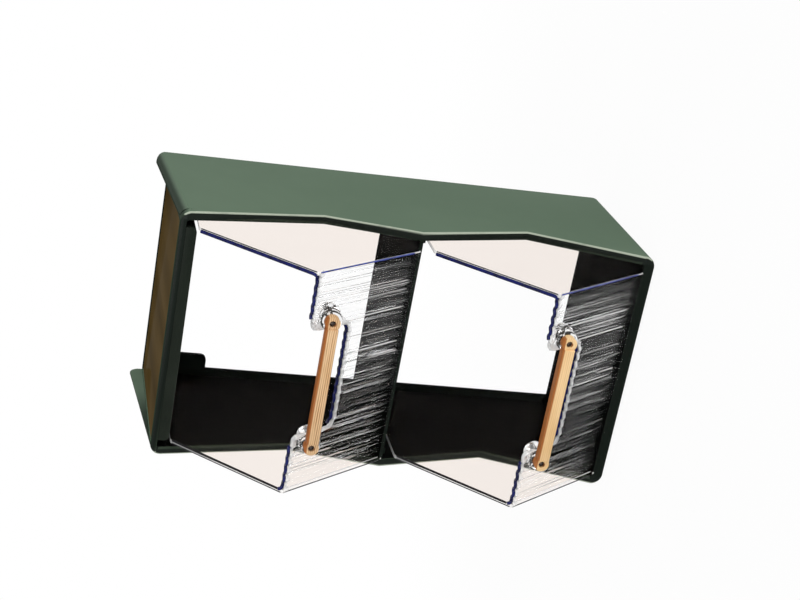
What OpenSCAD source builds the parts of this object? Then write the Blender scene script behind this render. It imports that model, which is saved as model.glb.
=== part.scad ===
// Two-tier organizer for tea bags and small packets. A wrap-around housing, open at the front and
// the back, has one bay above the other, and a clear drawer with a fluted front slides out of each.
// Millimetres, +Z up, front towards -Y. The origin is on the floor, in the middle of the footprint.

/* [Drawers] */
// Outer width of a drawer
drawer_w = 142; // [120:1:190]
// Height of a drawer's side walls
drawer_h = 133.5; // [115:0.5:165]
// Depth of a drawer behind the front of the housing
drawer_d = 106; // [90:1:170]
// How far the front edge of the mouth stands in front of the housing
mouth_reach = 55; // [40:1:65]
// Height of that edge above the drawer's bottom
mouth_h = 70; // [62:1:90]
// How far the bottom of the drawer stands in front of the housing
toe_reach = 4; // [1:0.5:10]
// Thickness of the sides, the floor and the back
drawer_t = 2.5; // [1.8:0.1:3.5]
// Rounding of the drawer's corners, seen from the side
drawer_corner_r = 4; // [2:0.5:7]

/* [Fluted front] */
// Thickness of the fluted wall
front_t = 2; // [1.5:0.1:3]
// Number of flutes across the front
flute_count = 24; // [12:1:32]
// Depth of a flute, from crest to trough
flute_depth = 1.2; // [0.6:0.1:2]
// How far the rim bead stands proud of the flutes
bead_proud = 0.8; // [0.4:0.1:1.5]
// Height of the rim bead
bead_h = 3.2; // [2:0.1:5]
// Width of the finger cut-out in the rim
cutout_w = 68; // [50:1:76]
// Depth of the cut-out, down the slope of the front
cutout_drop = 31; // [24:1:34]
// Radius of the cut-out's lower corners
cutout_r = 6; // [3:0.5:9]
// Radius where the rim turns down into the cut-out
lip_r = 7; // [3:0.5:9]

/* [Handles] */
// Distance between the two end discs of a handle
handle_span = 80; // [78:1:96]
// Height of the handle's middle below the front edge of the mouth
handle_drop = 12.5; // [11:0.5:16]
// Height of the bar
handle_bar_h = 7.5; // [5:0.5:9]
// Depth of the bar
handle_bar_d = 6; // [4.5:0.5:9]
// Rounding of the bar's edges
handle_edge_r = 0.8; // [0.5:0.1:2]
// Diameter of the end discs
handle_disc_d = 9; // [8:0.5:12]
// Thickness of the end discs
handle_disc_t = 4.6; // [4:0.1:6]
// How far the bar runs over the edge of an end disc
handle_lap = 1.2; // [0.5:0.1:2]
// Diameter of the lug that carries an end disc
lug_d = 13; // [11:0.5:15]
// How far the lug's seat stands proud of the flutes at the top of the disc
lug_proud = 0.9; // [0.8:0.1:2]

/* [Screws] */
// Diameter of a handle screw
screw_d = 2; // [1.6:0.1:2.4]
// Gap between a screw and its hole, on the radius
screw_gap = 0.1; // [0.05:0.05:0.3]
// Diameter of a screw's head
screw_head_d = 3.6; // [3.2:0.1:4.4]
// Height of a screw's head
screw_head_h = 1.2; // [0.8:0.1:1.5]
// Depth of the recess that the head sits in
screw_recess = 1.7; // [1.6:0.1:2.5]
// Gap between the head and the side of its recess
screw_head_gap = 0.2; // [0.1:0.1:0.5]
// Width across the flats of a nut
nut_flats = 4; // [3.6:0.1:5]
// Thickness of a nut
nut_t = 1.6; // [1.2:0.1:2.4]
// Length of the screw that shows behind its nut
screw_tail = 0.8; // [0.3:0.1:2]

/* [Housing] */
// Thickness of the side walls
wall_t = 5.5; // [3:0.1:7]
// Thickness of the top deck
deck_t = 4; // [3.4:0.1:6]
// Thickness of the base
base_t = 7.3; // [4:0.1:10]
// Outer radius of the housing's corners
corner_r = 7; // [4:0.5:10]
// Gap between a drawer and the wall beside it
side_gap = 3.5; // [2.5:0.1:8]
// Gap under a drawer
glide_gap = 0.3; // [0.2:0.1:0.6]
// Gap behind a closed drawer
back_gap = 2; // [1:0.5:6]
// Room above the lower drawer
lower_headroom = 6.4; // [5:0.1:20]
// Depth of the upper notch in the side walls' front edge
upper_notch_d = 17; // [10:1:35]
// Height of the upper notch's point below the top
upper_notch_drop = 88; // [60:1:120]
// Depth of the lower notch
lower_notch_d = 25; // [10:1:35]
// Height of the lower notch's point above the bottom
lower_notch_h = 77; // [40:1:110]
// How far the points between the notches lie behind the front
mid_setback = 4; // [0.5:0.5:8]
// Height of the ears above the deck at the back
ear_rise = 9; // [4:0.5:16]
// Distance from the front to where the ears start to rise
ear_start = 6; // [4:1:40]
// Rounding of the ears' back corners
ear_r = 7; // [2:0.5:9]
// Width of the flange along the back edges
flange_w = 5; // [3:0.5:8]
// Thickness of that flange
flange_t = 3; // [2:0.1:4]
// Width of the hanging tabs in the top back corners
tab_w = 15; // [13:0.5:20]
// Height of the hanging tabs
tab_h = 38; // [28:1:50]
// Radius of the tabs' free corners
tab_r = 4; // [2:0.5:9]
// Diameter of the screw holes in the tabs
tab_hole_d = 4.5; // [3:0.1:5.5]
// Depth of the tab holes below the deck
tab_hole_drop = 10; // [6:0.5:16]

/* [Shelf and guides] */
// Thickness of the shelf
shelf_t = 2.4; // [2:0.1:5]
// Gap between the shelf and each side wall
shelf_gap = 0.2; // [0.1:0.05:0.5]
// Distance of the shelf's front edge behind the points between the notches
shelf_setback = 1; // [0.5:0.5:4]
// Width of the ledges that carry the shelf
ledge_w = 4; // [2:0.5:6]
// Height of the ledges
ledge_h = 3; // [2:0.5:5]
// Distance of the ledges and guides behind the shelf's front edge
guide_setback = 7; // [3:1:30]
// Height of the guides beside a drawer's floor
guide_h = 3; // [2:0.5:6]
// Gap between a drawer and its guides
guide_gap = 0.5; // [0.3:0.1:1]

/* [Stop bar] */
// Height of the bar under the front of the deck
bar_h = 6.8; // [5:0.1:16]
// Thickness of the bar and of the arms at its ends
bar_t = 2.5; // [1.5:0.1:5]
// How far the arms run back under the deck
bar_arm = 24; // [8:1:60]
// Distance of the bar behind the front of the housing
bar_setback = 0.4; // [0.2:0.1:4]
// Distance from the bar's ends to the side walls
bar_end_gap = 4.5; // [3:0.5:15]
// Rounding of the bar's lower corners
bar_r = 3; // [1:0.5:4]
// Gap between the bar and the top of the upper drawer
bar_gap = 1.1; // [0.8:0.1:3]

/* [Top board and feet] */
// Thickness of the board let into the deck
board_t = 1.2; // [0.8:0.1:1.6]
// How far the board lies below the rim of the deck
board_sink = 0.6; // [0.3:0.1:1]
// Width of the deck's front lip
board_lip = 3; // [2:0.5:8]
// Width of the deck's back lip
board_back_lip = 2; // [1.5:0.5:6]
// Gap round the board
board_gap = 0.2; // [0.1:0.05:0.5]
// Diameter of a foot
foot_d = 12; // [8:0.5:20]
// Height of a foot
foot_h = 1.5; // [1:0.1:4]
// Distance from a foot's middle to the housing's sides
foot_inset = 14; // [12:1:30]

/* [Hidden] */

left = -1;
right = 1;
round_fn = 48;
cut = 1;            // overshoot of a cutting shape
arc_steps = 6;      // straight stretches in a rounded corner
flute_steps = 6;    // straight stretches in one flute

// Housing sizes that follow from the drawers
housing_w = drawer_w + 2 * (side_gap + wall_t);
housing_d = drawer_d + back_gap + flange_t;
bay_w = housing_w - 2 * wall_t;
shelf_z = base_t + glide_gap + drawer_h + lower_headroom;
shelf_top = shelf_z + shelf_t;
shelf_mid = shelf_z + shelf_t / 2;
shelf_y = mid_setback + shelf_setback;
guide_y = shelf_y + guide_setback;
deck_z = shelf_top + glide_gap + drawer_h + bar_gap + bar_h;
housing_h = deck_z + deck_t;
inner_corner_r = max(corner_r - wall_t, 1);
ear_slope = atan2(ear_rise, housing_d - ear_start);
ear_edge_r = corner_r - 1;
recess_d = board_t + board_sink;
board_w = bay_w - 2 * inner_corner_r;
board_d = housing_d - board_lip - board_back_lip;

// Drawer floors above the underside of the base
lower_floor_z = base_t + glide_gap;
upper_floor_z = shelf_top + glide_gap;

// The fluted front, which leans forward from the drawer's bottom
front_lean = atan2(mouth_reach - toe_reach, mouth_h);
front_l = norm([mouth_reach - toe_reach, mouth_h]);
front_w = drawer_w - 2 * drawer_t;
flute_pitch = front_w / flute_count;
bead_depth = bead_proud + flute_depth + front_t;

// Handle seats
handle_z = mouth_h - handle_drop;
lug_reach = front_reach(handle_z + handle_disc_d / 2) + lug_proud;
lug_back = front_reach(handle_z - lug_d / 2) - bead_depth / cos(front_lean) - lug_proud;
handle_reach = lug_reach + max(handle_bar_d, handle_disc_t);
handle_bar_l = handle_span - handle_disc_d + 2 * handle_lap;
hole_r = screw_d / 2 + screw_gap;
head_y = -lug_reach - handle_disc_t + screw_recess;

// Where the front of the housing lies, so that the footprint is centred on the origin
front_y = (max(handle_reach, mouth_reach) - housing_d) / 2;

// How far the drawer's front stands out of the housing at a height above the drawer's bottom
function front_reach(z) = toe_reach + (mouth_reach - toe_reach) * z / mouth_h;

// Points of an arc round a centre, from one angle to another
function arc(centre, r, from, to) =
    [for (i = [0:arc_steps]) let (a = from + (to - from) * i / arc_steps) centre + r * [cos(a), sin(a)]];

// Points that round the corner at p, between its neighbours a and b
function corner(a, p, b, r) =
    let (
        u = (a - p) / norm(a - p),
        v = (b - p) / norm(b - p),
        half = acos(u * v) / 2,
        centre = p + (u + v) / norm(u + v) * r / sin(half),
        start = p + u * r / tan(half) - centre,
        stop = p + v * r / tan(half) - centre,
        from = atan2(start.y, start.x),
        turn = atan2(start.x * stop.y - start.y * stop.x, start * stop)
    )
    arc(centre, r, from, from + turn);

// A closed outline with every corner rounded
function rounded(points, r) =
    let (n = len(points))
    [for (i = [0:n - 1]) each corner(points[(i + n - 1) % n], points[i], points[(i + 1) % n], r)];

// Depth of the fluted surface below its crests
function flute(x) = flute_depth / 2 * (1 - cos(360 * x / flute_pitch));

// Housing coordinates: y from the housing's front, z from the underside of its base
module in_housing() {
    translate([0, front_y, foot_h])
        children();
}

// Drawer coordinates: y from the housing's front, z from the bottom of the drawer
module in_bay(floor_z) {
    in_housing()
        translate([0, 0, floor_z])
            children();
}

// Extrudes an outline drawn in Y and Z along X
module along_x(x, length) {
    translate([x, 0, 0])
        rotate([90, 0, 90])
            linear_extrude(length)
                children();
}

// Extrudes an outline drawn in X and Z along Y
module along_y(y, length) {
    translate([0, y + length, 0])
        rotate([90, 0, 0])
            linear_extrude(length)
                children();
}

// A cylinder along Y
module rod_y(y, length, r) {
    translate([0, y, 0])
        rotate([-90, 0, 0])
            cylinder(h = length, r = r, $fn = round_fn);
}

// A rectangle with round corners that stands on the X axis
module rounded_rect(w, h, r) {
    translate([-w / 2, r])
        square([w, h - 2 * r]);
    translate([-w / 2 + r, 0])
        square([w - 2 * r, h]);
    for (x = [-w / 2 + r, w / 2 - r], y = [r, h - r])
        translate([x, y])
            circle(r, $fn = round_fn);
}

// Wrap-around section of the housing
module housing_section() {
    difference() {
        rounded_rect(housing_w, housing_h, corner_r);
        translate([0, base_t])
            rounded_rect(bay_w, deck_z - base_t, inner_corner_r);
    }
}

// The two notches that give the side walls their zig-zag front edge
module front_notches() {
    along_x(-housing_w / 2 - cut, housing_w + 2 * cut) {
        polygon([
            [-cut, deck_z],
            [0, deck_z],
            [upper_notch_d, housing_h - upper_notch_drop],
            [mid_setback, shelf_mid],
            [-cut, shelf_mid]
        ]);
        polygon([
            [-cut, base_t],
            [0, base_t],
            [lower_notch_d, lower_notch_h],
            [mid_setback, shelf_mid],
            [-cut, shelf_mid]
        ]);
    }
}

// Side view of an ear, with its back corner rounded
module ear_outline() {
    centre_y = housing_d - ear_r;
    centre_z = housing_h + (centre_y - ear_start) * tan(ear_slope) - ear_r / cos(ear_slope);
    low_z = housing_h - max(corner_r, ear_r);
    polygon(concat(
        [[ear_start, low_z], [housing_d, low_z]],
        arc([centre_y, centre_z], ear_r, 0, 90 + ear_slope),
        [[ear_start, housing_h]]
    ));
}

// Section of a side wall's top, with its outer edge rounded
module wall_top_section() {
    translate([bay_w / 2, -2 * corner_r - ear_r])
        square([wall_t, 2 * corner_r + ear_r - ear_edge_r]);
    intersection() {
        translate([housing_w / 2 - ear_edge_r, -ear_edge_r])
            circle(ear_edge_r, $fn = round_fn);
        translate([bay_w / 2, -ear_edge_r])
            square([wall_t, ear_edge_r]);
    }
    if (wall_t > ear_edge_r)
        translate([bay_w / 2, -ear_edge_r])
            square([wall_t - ear_edge_r, ear_edge_r]);
}

// Wedge-shaped ear that goes on from the rounded corner of the housing and rises towards the back
module ear() {
    intersection() {
        along_x(bay_w / 2, wall_t)
            ear_outline();
        translate([0, ear_start, housing_h])
            rotate([ear_slope, 0, 0])
                along_y(-corner_r, housing_d + 2 * corner_r)
                    wall_top_section();
    }
}

// Back flange of one side wall, with the hanging tab at its top
module back_flange() {
    translate([bay_w / 2 - flange_w, base_t])
        square([flange_w, deck_z - base_t]);
    translate([bay_w / 2 - tab_w + tab_r, deck_z - tab_h])
        square([tab_w - tab_r, tab_h]);
    translate([bay_w / 2 - tab_w, deck_z - tab_h + tab_r])
        square([tab_w, tab_h - tab_r]);
    translate([bay_w / 2 - tab_w + tab_r, deck_z - tab_h + tab_r])
        circle(tab_r, $fn = round_fn);
}

// A low guide that keeps a drawer's floor in line, on the right-hand side
module drawer_guide(z, outer_x) {
    inner_x = drawer_w / 2 + guide_gap;
    translate([inner_x, guide_y, z])
        cube([outer_x - inner_x, housing_d - flange_t - guide_y, guide_h]);
}

module shell() {
    color([0.17, 0.24, 0.19])
        in_housing()
            difference() {
                union() {
                    difference() {
                        along_y(0, housing_d)
                            housing_section();
                        front_notches();
                    }
                    for (side = [left, right])
                        mirror([side == left ? 1 : 0, 0, 0]) {
                            ear();
                            along_y(housing_d - flange_t, flange_t)
                                back_flange();
                            translate([bay_w / 2 - ledge_w, guide_y, shelf_z - ledge_h])
                                cube([ledge_w, housing_d - flange_t - guide_y, ledge_h]);
                            drawer_guide(base_t, bay_w / 2);
                        }
                }
                translate([-board_w / 2, board_lip, housing_h - recess_d])
                    cube([board_w, board_d, recess_d + cut]);
                for (side = [left, right])
                    translate([side * (bay_w / 2 - tab_w / 2), 0, deck_z - tab_hole_drop])
                        rod_y(housing_d - flange_t - cut, flange_t + 2 * cut, tab_hole_d / 2);
            }
}

module mid_shelf() {
    shelf_w = bay_w - 2 * shelf_gap;
    color([0.15, 0.21, 0.17])
        in_housing() {
            translate([-shelf_w / 2, shelf_y, shelf_z])
                cube([shelf_w, housing_d - flange_t - shelf_y, shelf_t]);
            for (side = [left, right])
                mirror([side == left ? 1 : 0, 0, 0])
                    drawer_guide(shelf_top, shelf_w / 2);
        }
}

module top_board() {
    color([0.35, 0.26, 0.14])
        in_housing()
            translate([-board_w / 2 + board_gap, board_lip + board_gap, housing_h - recess_d])
                cube([board_w - 2 * board_gap, board_d - 2 * board_gap, board_t]);
}

// Front view of the stop bar
module bar_outline(bar_w) {
    translate([-bar_w / 2, bar_r])
        square([bar_w, bar_h - bar_r]);
    translate([-bar_w / 2 + bar_r, 0])
        square([bar_w - 2 * bar_r, bar_r]);
    for (side = [left, right])
        translate([side * (bar_w / 2 - bar_r), bar_r])
            circle(bar_r, $fn = round_fn);
}

// The bar that stops the upper bay off under the deck, with an arm that runs back from each end
module stop_bar() {
    bar_w = bay_w - 2 * bar_end_gap;
    color([0.12, 0.15, 0.13])
        in_housing()
            translate([0, 0, deck_z - bar_h])
                difference() {
                    along_y(bar_setback, bar_arm)
                        bar_outline(bar_w);
                    translate([-bar_w / 2 + bar_t, bar_setback + bar_t, -cut])
                        cube([bar_w - 2 * bar_t, bar_arm, bar_h + 2 * cut]);
                }
}

// Side view of a drawer, with the leaning front and the sloping mouth
module drawer_profile() {
    polygon(rounded([
        [drawer_d, 0],
        [drawer_d, drawer_h],
        [0, drawer_h],
        [-mouth_reach, mouth_h],
        [-toe_reach, 0]
    ], drawer_corner_r));
}

// Front coordinates: x across, y into the drawer, z up the slope from the drawer's bottom
module in_front() {
    translate([0, -toe_reach, 0])
        rotate([front_lean, 0, 0])
            children();
}

// Plan of a fluted wall, a wave of even thickness
module flute_plan(inset, thickness) {
    steps = flute_count * flute_steps;
    xs = [for (i = [0:steps]) -front_w / 2 + front_w * i / steps];
    polygon(concat(
        [for (x = xs) [x, inset + flute(x)]],
        [for (i = [steps:-1:0]) [xs[i], inset + flute(xs[i]) + thickness]]
    ));
}

// Outline that hangs from the rim, with round lower corners
module hanging_outline(w, drop, r) {
    translate([-w / 2, front_l - drop + r])
        square([w, drop - r + bead_h]);
    translate([-w / 2 + r, front_l - drop])
        square([w - 2 * r, r]);
    for (side = [left, right])
        translate([side * (w / 2 - r), front_l - drop + r])
            circle(r, $fn = round_fn);
}

// Finger cut-out, with the rim turning down into it
module cutout_outline() {
    hanging_outline(cutout_w, cutout_drop, cutout_r);
    for (side = [left, right])
        mirror([side == left ? 1 : 0, 0])
            difference() {
                translate([cutout_w / 2, front_l - lip_r])
                    square([lip_r, lip_r + bead_h]);
                translate([cutout_w / 2 + lip_r, front_l - lip_r])
                    circle(lip_r, $fn = round_fn);
            }
}

// Bead along the rim and round the cut-out
module bead_outline() {
    translate([-drawer_w / 2, front_l - bead_h])
        square([drawer_w, 2 * bead_h]);
    hanging_outline(cutout_w + 2 * bead_h, cutout_drop + bead_h, cutout_r + bead_h);
}

// The leaning front: a fluted wall and, on it, the bead, which follows the flutes
module fluted_front() {
    in_front()
        difference() {
            union() {
                translate([0, 0, -bead_depth])
                    linear_extrude(front_l + 2 * bead_depth)
                        flute_plan(bead_proud, front_t);
                intersection() {
                    linear_extrude(front_l + 2 * bead_depth)
                        flute_plan(0, bead_proud + front_t / 2);
                    along_y(-cut, bead_depth + 2 * cut)
                        bead_outline();
                }
            }
            along_y(-cut, bead_depth + 2 * cut)
                cutout_outline();
        }
}

// A drawer: thin walls round an open mouth, with a lug for each end of the handle
module drawer_body() {
    difference() {
        union() {
            intersection() {
                along_x(-drawer_w / 2, drawer_w)
                    drawer_profile();
                union() {
                    for (x = [-drawer_w / 2, drawer_w / 2 - drawer_t])
                        translate([x, -mouth_reach - cut, -cut])
                            cube([drawer_t, mouth_reach + drawer_d + 2 * cut, drawer_h + 2 * cut]);
                    translate([-drawer_w / 2, -toe_reach, 0])
                        cube([drawer_w, toe_reach + drawer_d, drawer_t]);
                    translate([-drawer_w / 2, drawer_d - drawer_t, 0])
                        cube([drawer_w, drawer_t, drawer_h]);
                    fluted_front();
                }
            }
            for (side = [left, right])
                translate([side * handle_span / 2, 0, handle_z])
                    rod_y(-lug_reach, lug_reach - lug_back, lug_d / 2);
        }
        for (side = [left, right])
            translate([side * handle_span / 2, 0, handle_z])
                rod_y(-lug_reach - cut, lug_reach - lug_back + 2 * cut, hole_r);
    }
}

// A bar that stands proud of a round disc at each end. The discs are screwed to the drawer's lugs.
module handle() {
    difference() {
        union() {
            along_x(-handle_bar_l / 2, handle_bar_l)
                translate([-lug_reach - handle_bar_d / 2, handle_z - handle_bar_h / 2])
                    rounded_rect(handle_bar_d, handle_bar_h, handle_edge_r);
            for (side = [left, right])
                translate([side * handle_span / 2, 0, handle_z])
                    rod_y(-lug_reach - handle_disc_t, handle_disc_t, handle_disc_d / 2);
        }
        for (side = [left, right])
            translate([side * handle_span / 2, 0, handle_z]) {
                rod_y(head_y - cut, -lug_reach - head_y + 2 * cut, hole_r);
                rod_y(-handle_reach - cut, head_y + handle_reach + cut, screw_head_d / 2 + screw_head_gap);
            }
    }
}

// A screw with a domed head, through the handle and its lug
module handle_screw(side) {
    tail_y = -lug_back + nut_t + screw_tail;
    dome_r = (pow(screw_head_d / 2, 2) + pow(screw_head_h, 2)) / (2 * screw_head_h);
    translate([side * handle_span / 2, 0, handle_z]) {
        rod_y(head_y, tail_y - head_y, screw_d / 2);
        translate([0, head_y, 0])
            rotate([90, 0, 0])
                rotate_extrude($fn = round_fn)
                    intersection() {
                        square([screw_head_d / 2, screw_head_h]);
                        translate([0, screw_head_h - dome_r])
                            circle(dome_r, $fn = round_fn);
                    }
    }
}

// A hexagon nut on the screw's tail, inside the drawer
module handle_nut(side) {
    translate([side * handle_span / 2, -lug_back, handle_z])
        rotate([-90, 0, 0])
            difference() {
                cylinder(h = nut_t, d = nut_flats / cos(30), $fn = 6);
                translate([0, 0, -cut])
                    cylinder(h = nut_t + 2 * cut, r = hole_r, $fn = round_fn);
            }
}

module clear_drawer(floor_z) {
    color([0.82, 0.86, 0.9, 0.45])
        in_bay(floor_z)
            drawer_body();
}

module bar_handle(floor_z) {
    color([0.85, 0.66, 0.42])
        in_bay(floor_z)
            handle();
}

module screw(floor_z, side) {
    color([0.3, 0.3, 0.31])
        in_bay(floor_z)
            handle_screw(side);
}

module nut(floor_z, side) {
    color([0.3, 0.3, 0.31])
        in_bay(floor_z)
            handle_nut(side);
}

// An anti-slip pad under a corner of the base
module foot(x_side, y) {
    color([0.08, 0.09, 0.08])
        translate([x_side * (housing_w / 2 - foot_inset), front_y + y, 0])
            cylinder(h = foot_h, d = foot_d, $fn = round_fn);
}

shell();
mid_shelf();
top_board();
stop_bar();
clear_drawer(upper_floor_z);  // upper_drawer
bar_handle(upper_floor_z);  // upper_handle
screw(upper_floor_z, left);  // upper_left_screw
screw(upper_floor_z, right);  // upper_right_screw
nut(upper_floor_z, left);  // upper_left_nut
nut(upper_floor_z, right);  // upper_right_nut
clear_drawer(lower_floor_z);  // lower_drawer
bar_handle(lower_floor_z);  // lower_handle
screw(lower_floor_z, left);  // lower_left_screw
screw(lower_floor_z, right);  // lower_right_screw
nut(lower_floor_z, left);  // lower_left_nut
nut(lower_floor_z, right);  // lower_right_nut
foot(left, foot_inset);  // front_left_foot
foot(right, foot_inset);  // front_right_foot
foot(left, housing_d - foot_inset);  // back_left_foot
foot(right, housing_d - foot_inset);  // back_right_foot
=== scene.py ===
import math

import bmesh
import bpy
import numpy as np
from mathutils import Matrix, Vector


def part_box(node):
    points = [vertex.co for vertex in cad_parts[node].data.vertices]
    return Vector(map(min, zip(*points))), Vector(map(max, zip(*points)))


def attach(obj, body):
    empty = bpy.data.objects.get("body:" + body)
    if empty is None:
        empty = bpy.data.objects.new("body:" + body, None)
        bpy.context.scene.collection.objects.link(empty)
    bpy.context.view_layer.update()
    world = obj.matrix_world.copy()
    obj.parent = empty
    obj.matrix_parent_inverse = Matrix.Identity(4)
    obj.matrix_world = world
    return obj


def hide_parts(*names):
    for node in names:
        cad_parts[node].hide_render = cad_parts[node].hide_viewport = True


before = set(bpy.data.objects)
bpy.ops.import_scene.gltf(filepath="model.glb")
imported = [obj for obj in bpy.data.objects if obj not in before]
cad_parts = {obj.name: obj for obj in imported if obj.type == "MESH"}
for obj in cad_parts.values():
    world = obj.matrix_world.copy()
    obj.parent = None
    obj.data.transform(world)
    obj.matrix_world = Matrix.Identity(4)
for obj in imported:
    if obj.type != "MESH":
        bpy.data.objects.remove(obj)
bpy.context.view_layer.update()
print("frame loaded,", len(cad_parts), "nodes")


# A socket of a node tree. Sums and products of flows add Math nodes.
class Flow:
    def __init__(self, tree, socket=None):
        self.tree = tree
        self.socket = socket

    def add(self, kind, settings=None, inputs=None, out=0):
        node = self.tree.nodes.new(kind)
        for key, value in (settings or {}).items():
            if key == "stops":
                ramp = node.color_ramp
                while len(ramp.elements) < len(value):
                    ramp.elements.new(0.5)
                for element, (stop, colour) in zip(ramp.elements, value):
                    element.position = stop
                    element.color = (*colour, 1)
            else:
                setattr(node, key, value)
        for key, value in (inputs or {}).items():
            if isinstance(value, Flow):
                self.tree.links.new(value.socket, node.inputs[key])
            else:
                node.inputs[key].default_value = value
        return Flow(self.tree, node.outputs[out] if len(node.outputs) else None)

    def out(self, name):
        return Flow(self.tree, self.socket.node.outputs[name])

    def math(self, operation, first, second=0.0):
        return self.add("ShaderNodeMath", {"operation": operation}, {0: first, 1: second})

    def __add__(self, other):
        return self.math("ADD", self, other)

    def __sub__(self, other):
        return self.math("SUBTRACT", self, other)

    def __mul__(self, other):
        return self.math("MULTIPLY", self, other)

    def __truediv__(self, other):
        return self.math("DIVIDE", self, other)

    def __rsub__(self, other):
        return self.math("SUBTRACT", other, self)

    def __rtruediv__(self, other):
        return self.math("DIVIDE", other, self)

    __radd__ = __add__
    __rmul__ = __mul__

    # 0 below the first value, 1 above the second
    def step(self, low, high):
        return self.add("ShaderNodeMapRange", {"interpolation_type": "SMOOTHSTEP"},
                        {"Value": self, "From Min": low, "From Max": high})

    # Mixes two colours, each a flow or three numbers
    def blend(self, factor, first, second):
        first, second = [colour if isinstance(colour, Flow) else (*colour, 1) for colour in (first, second)]
        return self.add("ShaderNodeMix", {"data_type": "RGBA"}, {0: factor, 6: first, 7: second}, 2)


def newFinish(name):
    material = bpy.data.materials.new(name)
    material.use_nodes = True
    material.node_tree.nodes.clear()
    return material, Flow(material.node_tree)


def closeFinish(flow, sockets):
    shader = flow.add("ShaderNodeBsdfPrincipled", None, sockets)
    flow.add("ShaderNodeOutputMaterial", None, {"Surface": shader})


def place(flow, scale=(1, 1, 1)):
    spot = flow.add("ShaderNodeTexCoord").out("Object")
    return flow.add("ShaderNodeMapping", None, {"Vector": spot, "Scale": scale})


def axes(flow, spot):
    return flow.add("ShaderNodeSeparateXYZ", None, {0: spot})


def normalAxes(flow):
    return axes(flow, flow.add("ShaderNodeNewGeometry").out("Normal"))


def vector(flow, **parts):
    return flow.add("ShaderNodeCombineXYZ", None, parts)


def noise(flow, spot, scale, detail=3.0, rough=0.5):
    return flow.add("ShaderNodeTexNoise", None,
                    {"Vector": spot, "Scale": scale, "Detail": detail, "Roughness": rough})


def bump(flow, height, strength, distance):
    return flow.add("ShaderNodeBump", None,
                    {"Height": height, "Strength": strength, "Distance": distance})


# Moulded green plastic of the housing, with painted shade on its front edges, on its upward faces and in the bays,
# and a painted highlight on its corners: bright on the outer ones, broken up by noise, faint on the inner edges of
# the bays
greenPlastic = dict(
    base=(0.101, 0.152, 0.103), light=(0.113, 0.168, 0.114), edge=(0.011, 0.015, 0.012),
    upper=(0.022, 0.037, 0.023), inside=(0.0030, 0.0033, 0.0030),
    paler=(0.40, 0.45, 0.36), lip=(0.032, 0.044, 0.031),
    halfBay=0.0748, highlightFrom=0.0772, highlightHigh=0.288, highlightBack=-0.0262, deckTop=0.2961, floorTop=0.0016,
    bayFade=0.0006, highlightFade=0.0008, backFade=0.0005, highFade=0.002,
    upFacing=(0.2, 0.8), frontFacing=(0.55, 0.9), cornerFacing=(0.15, 0.35), coat=0.10, upCoatLoss=0.7,
)


def makeGreen():
    g = greenPlastic
    material, flow = newFinish("greenPlastic")
    spot = place(flow)
    cloud = noise(flow, spot, 9.0, 4.0)
    grain = noise(flow, spot, 900.0, 2.0)
    highlightNoise = noise(flow, spot, 60.0, 4.0, 0.6)
    tone = flow.blend(cloud.step(0.3, 0.75), g["base"], g["light"])
    facing = normalAxes(flow)
    where = axes(flow, spot)
    forward = 0 - facing.out("Y")
    across = flow.math("ABSOLUTE", where.out("X"))
    high = where.out("Z")
    # Painted shade: the walls and floors of the bays are near black
    inner = 1 - across.step(g["halfBay"], g["halfBay"] + g["bayFade"])
    inner = inner * (1 - high.step(g["deckTop"] - g["highFade"], g["deckTop"]))
    inner = inner * high.step(g["floorTop"], g["floorTop"] + g["highFade"])
    # Painted shade: faces turned upward are darker, and lose some coat
    up = facing.out("Z").step(*g["upFacing"])
    tone = flow.blend(up, tone, g["upper"])
    tone = flow.blend(inner, tone, g["inside"])
    # Painted shade: faces turned to the front are near black
    tone = flow.blend(forward.step(*g["frontFacing"]), tone, g["edge"])
    # Painted highlight on the rounded front corners: pale on the outer ones, varied by noise, but not where they
    # are both high and towards the back; a fainter one on the inner ones
    corner = forward.step(*g["cornerFacing"])
    corner = corner * flow.math("ABSOLUTE", facing.out("X")).step(*g["cornerFacing"])
    outer = across.step(g["highlightFrom"], g["highlightFrom"] + g["highlightFade"])
    behind = high.step(g["highlightHigh"], g["highlightHigh"] + g["highFade"])
    behind = behind * where.out("Y").step(g["highlightBack"], g["highlightBack"] + g["backFade"])
    corner = corner * (1 - behind)
    tone = flow.blend(corner * outer * (highlightNoise.step(0.2, 0.5) * 0.5 + 0.5), tone, g["paler"])
    tone = flow.blend(corner * (1 - outer), tone, g["lip"])
    closeFinish(flow, {
        "Base Color": tone,
        "Roughness": cloud * 0.10 + grain * 0.06 + 0.32,
        "Specular IOR Level": 0.0,
        "Coat Weight": (1 - inner) * (1 - up * g["upCoatLoss"]) * g["coat"] + cloud * 0.03,
        "Coat Roughness": 0.18,
        "Normal": bump(flow, grain, 0.05, 0.0002),
    })
    return material


# Dark plastic of the bar under the deck, paler on its lower front edge
barPlastic = dict(base=(0.011, 0.015, 0.011), light=(0.019, 0.024, 0.018), paler=(0.10, 0.115, 0.095))


def makeBar():
    b = barPlastic
    material, flow = newFinish("barPlastic")
    spot = place(flow)
    cloud = noise(flow, spot, 14.0, 3.0)
    grain = noise(flow, spot, 900.0, 2.0)
    facing = normalAxes(flow)
    lower = (0 - facing.out("Z")).step(0.3, 0.5) * (0 - facing.out("Y")).step(0.3, 0.5)
    tone = flow.blend(cloud.step(0.3, 0.7), b["base"], b["light"])
    closeFinish(flow, {
        "Base Color": flow.blend(lower, tone, b["paler"]),
        "Roughness": cloud * 0.12 + 0.3,
        "Specular IOR Level": 0.0,
        "Coat Weight": cloud * 0.06 + 0.05,
        "Coat Roughness": 0.2,
        "Normal": bump(flow, grain, 0.05, 0.0002),
    })
    return material


# Glossy brown board on the deck, with soft bands from front to back
deckBoard = dict(dark=(0.050, 0.032, 0.010), mid=(0.090, 0.057, 0.018), light=(0.130, 0.085, 0.033))


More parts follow.
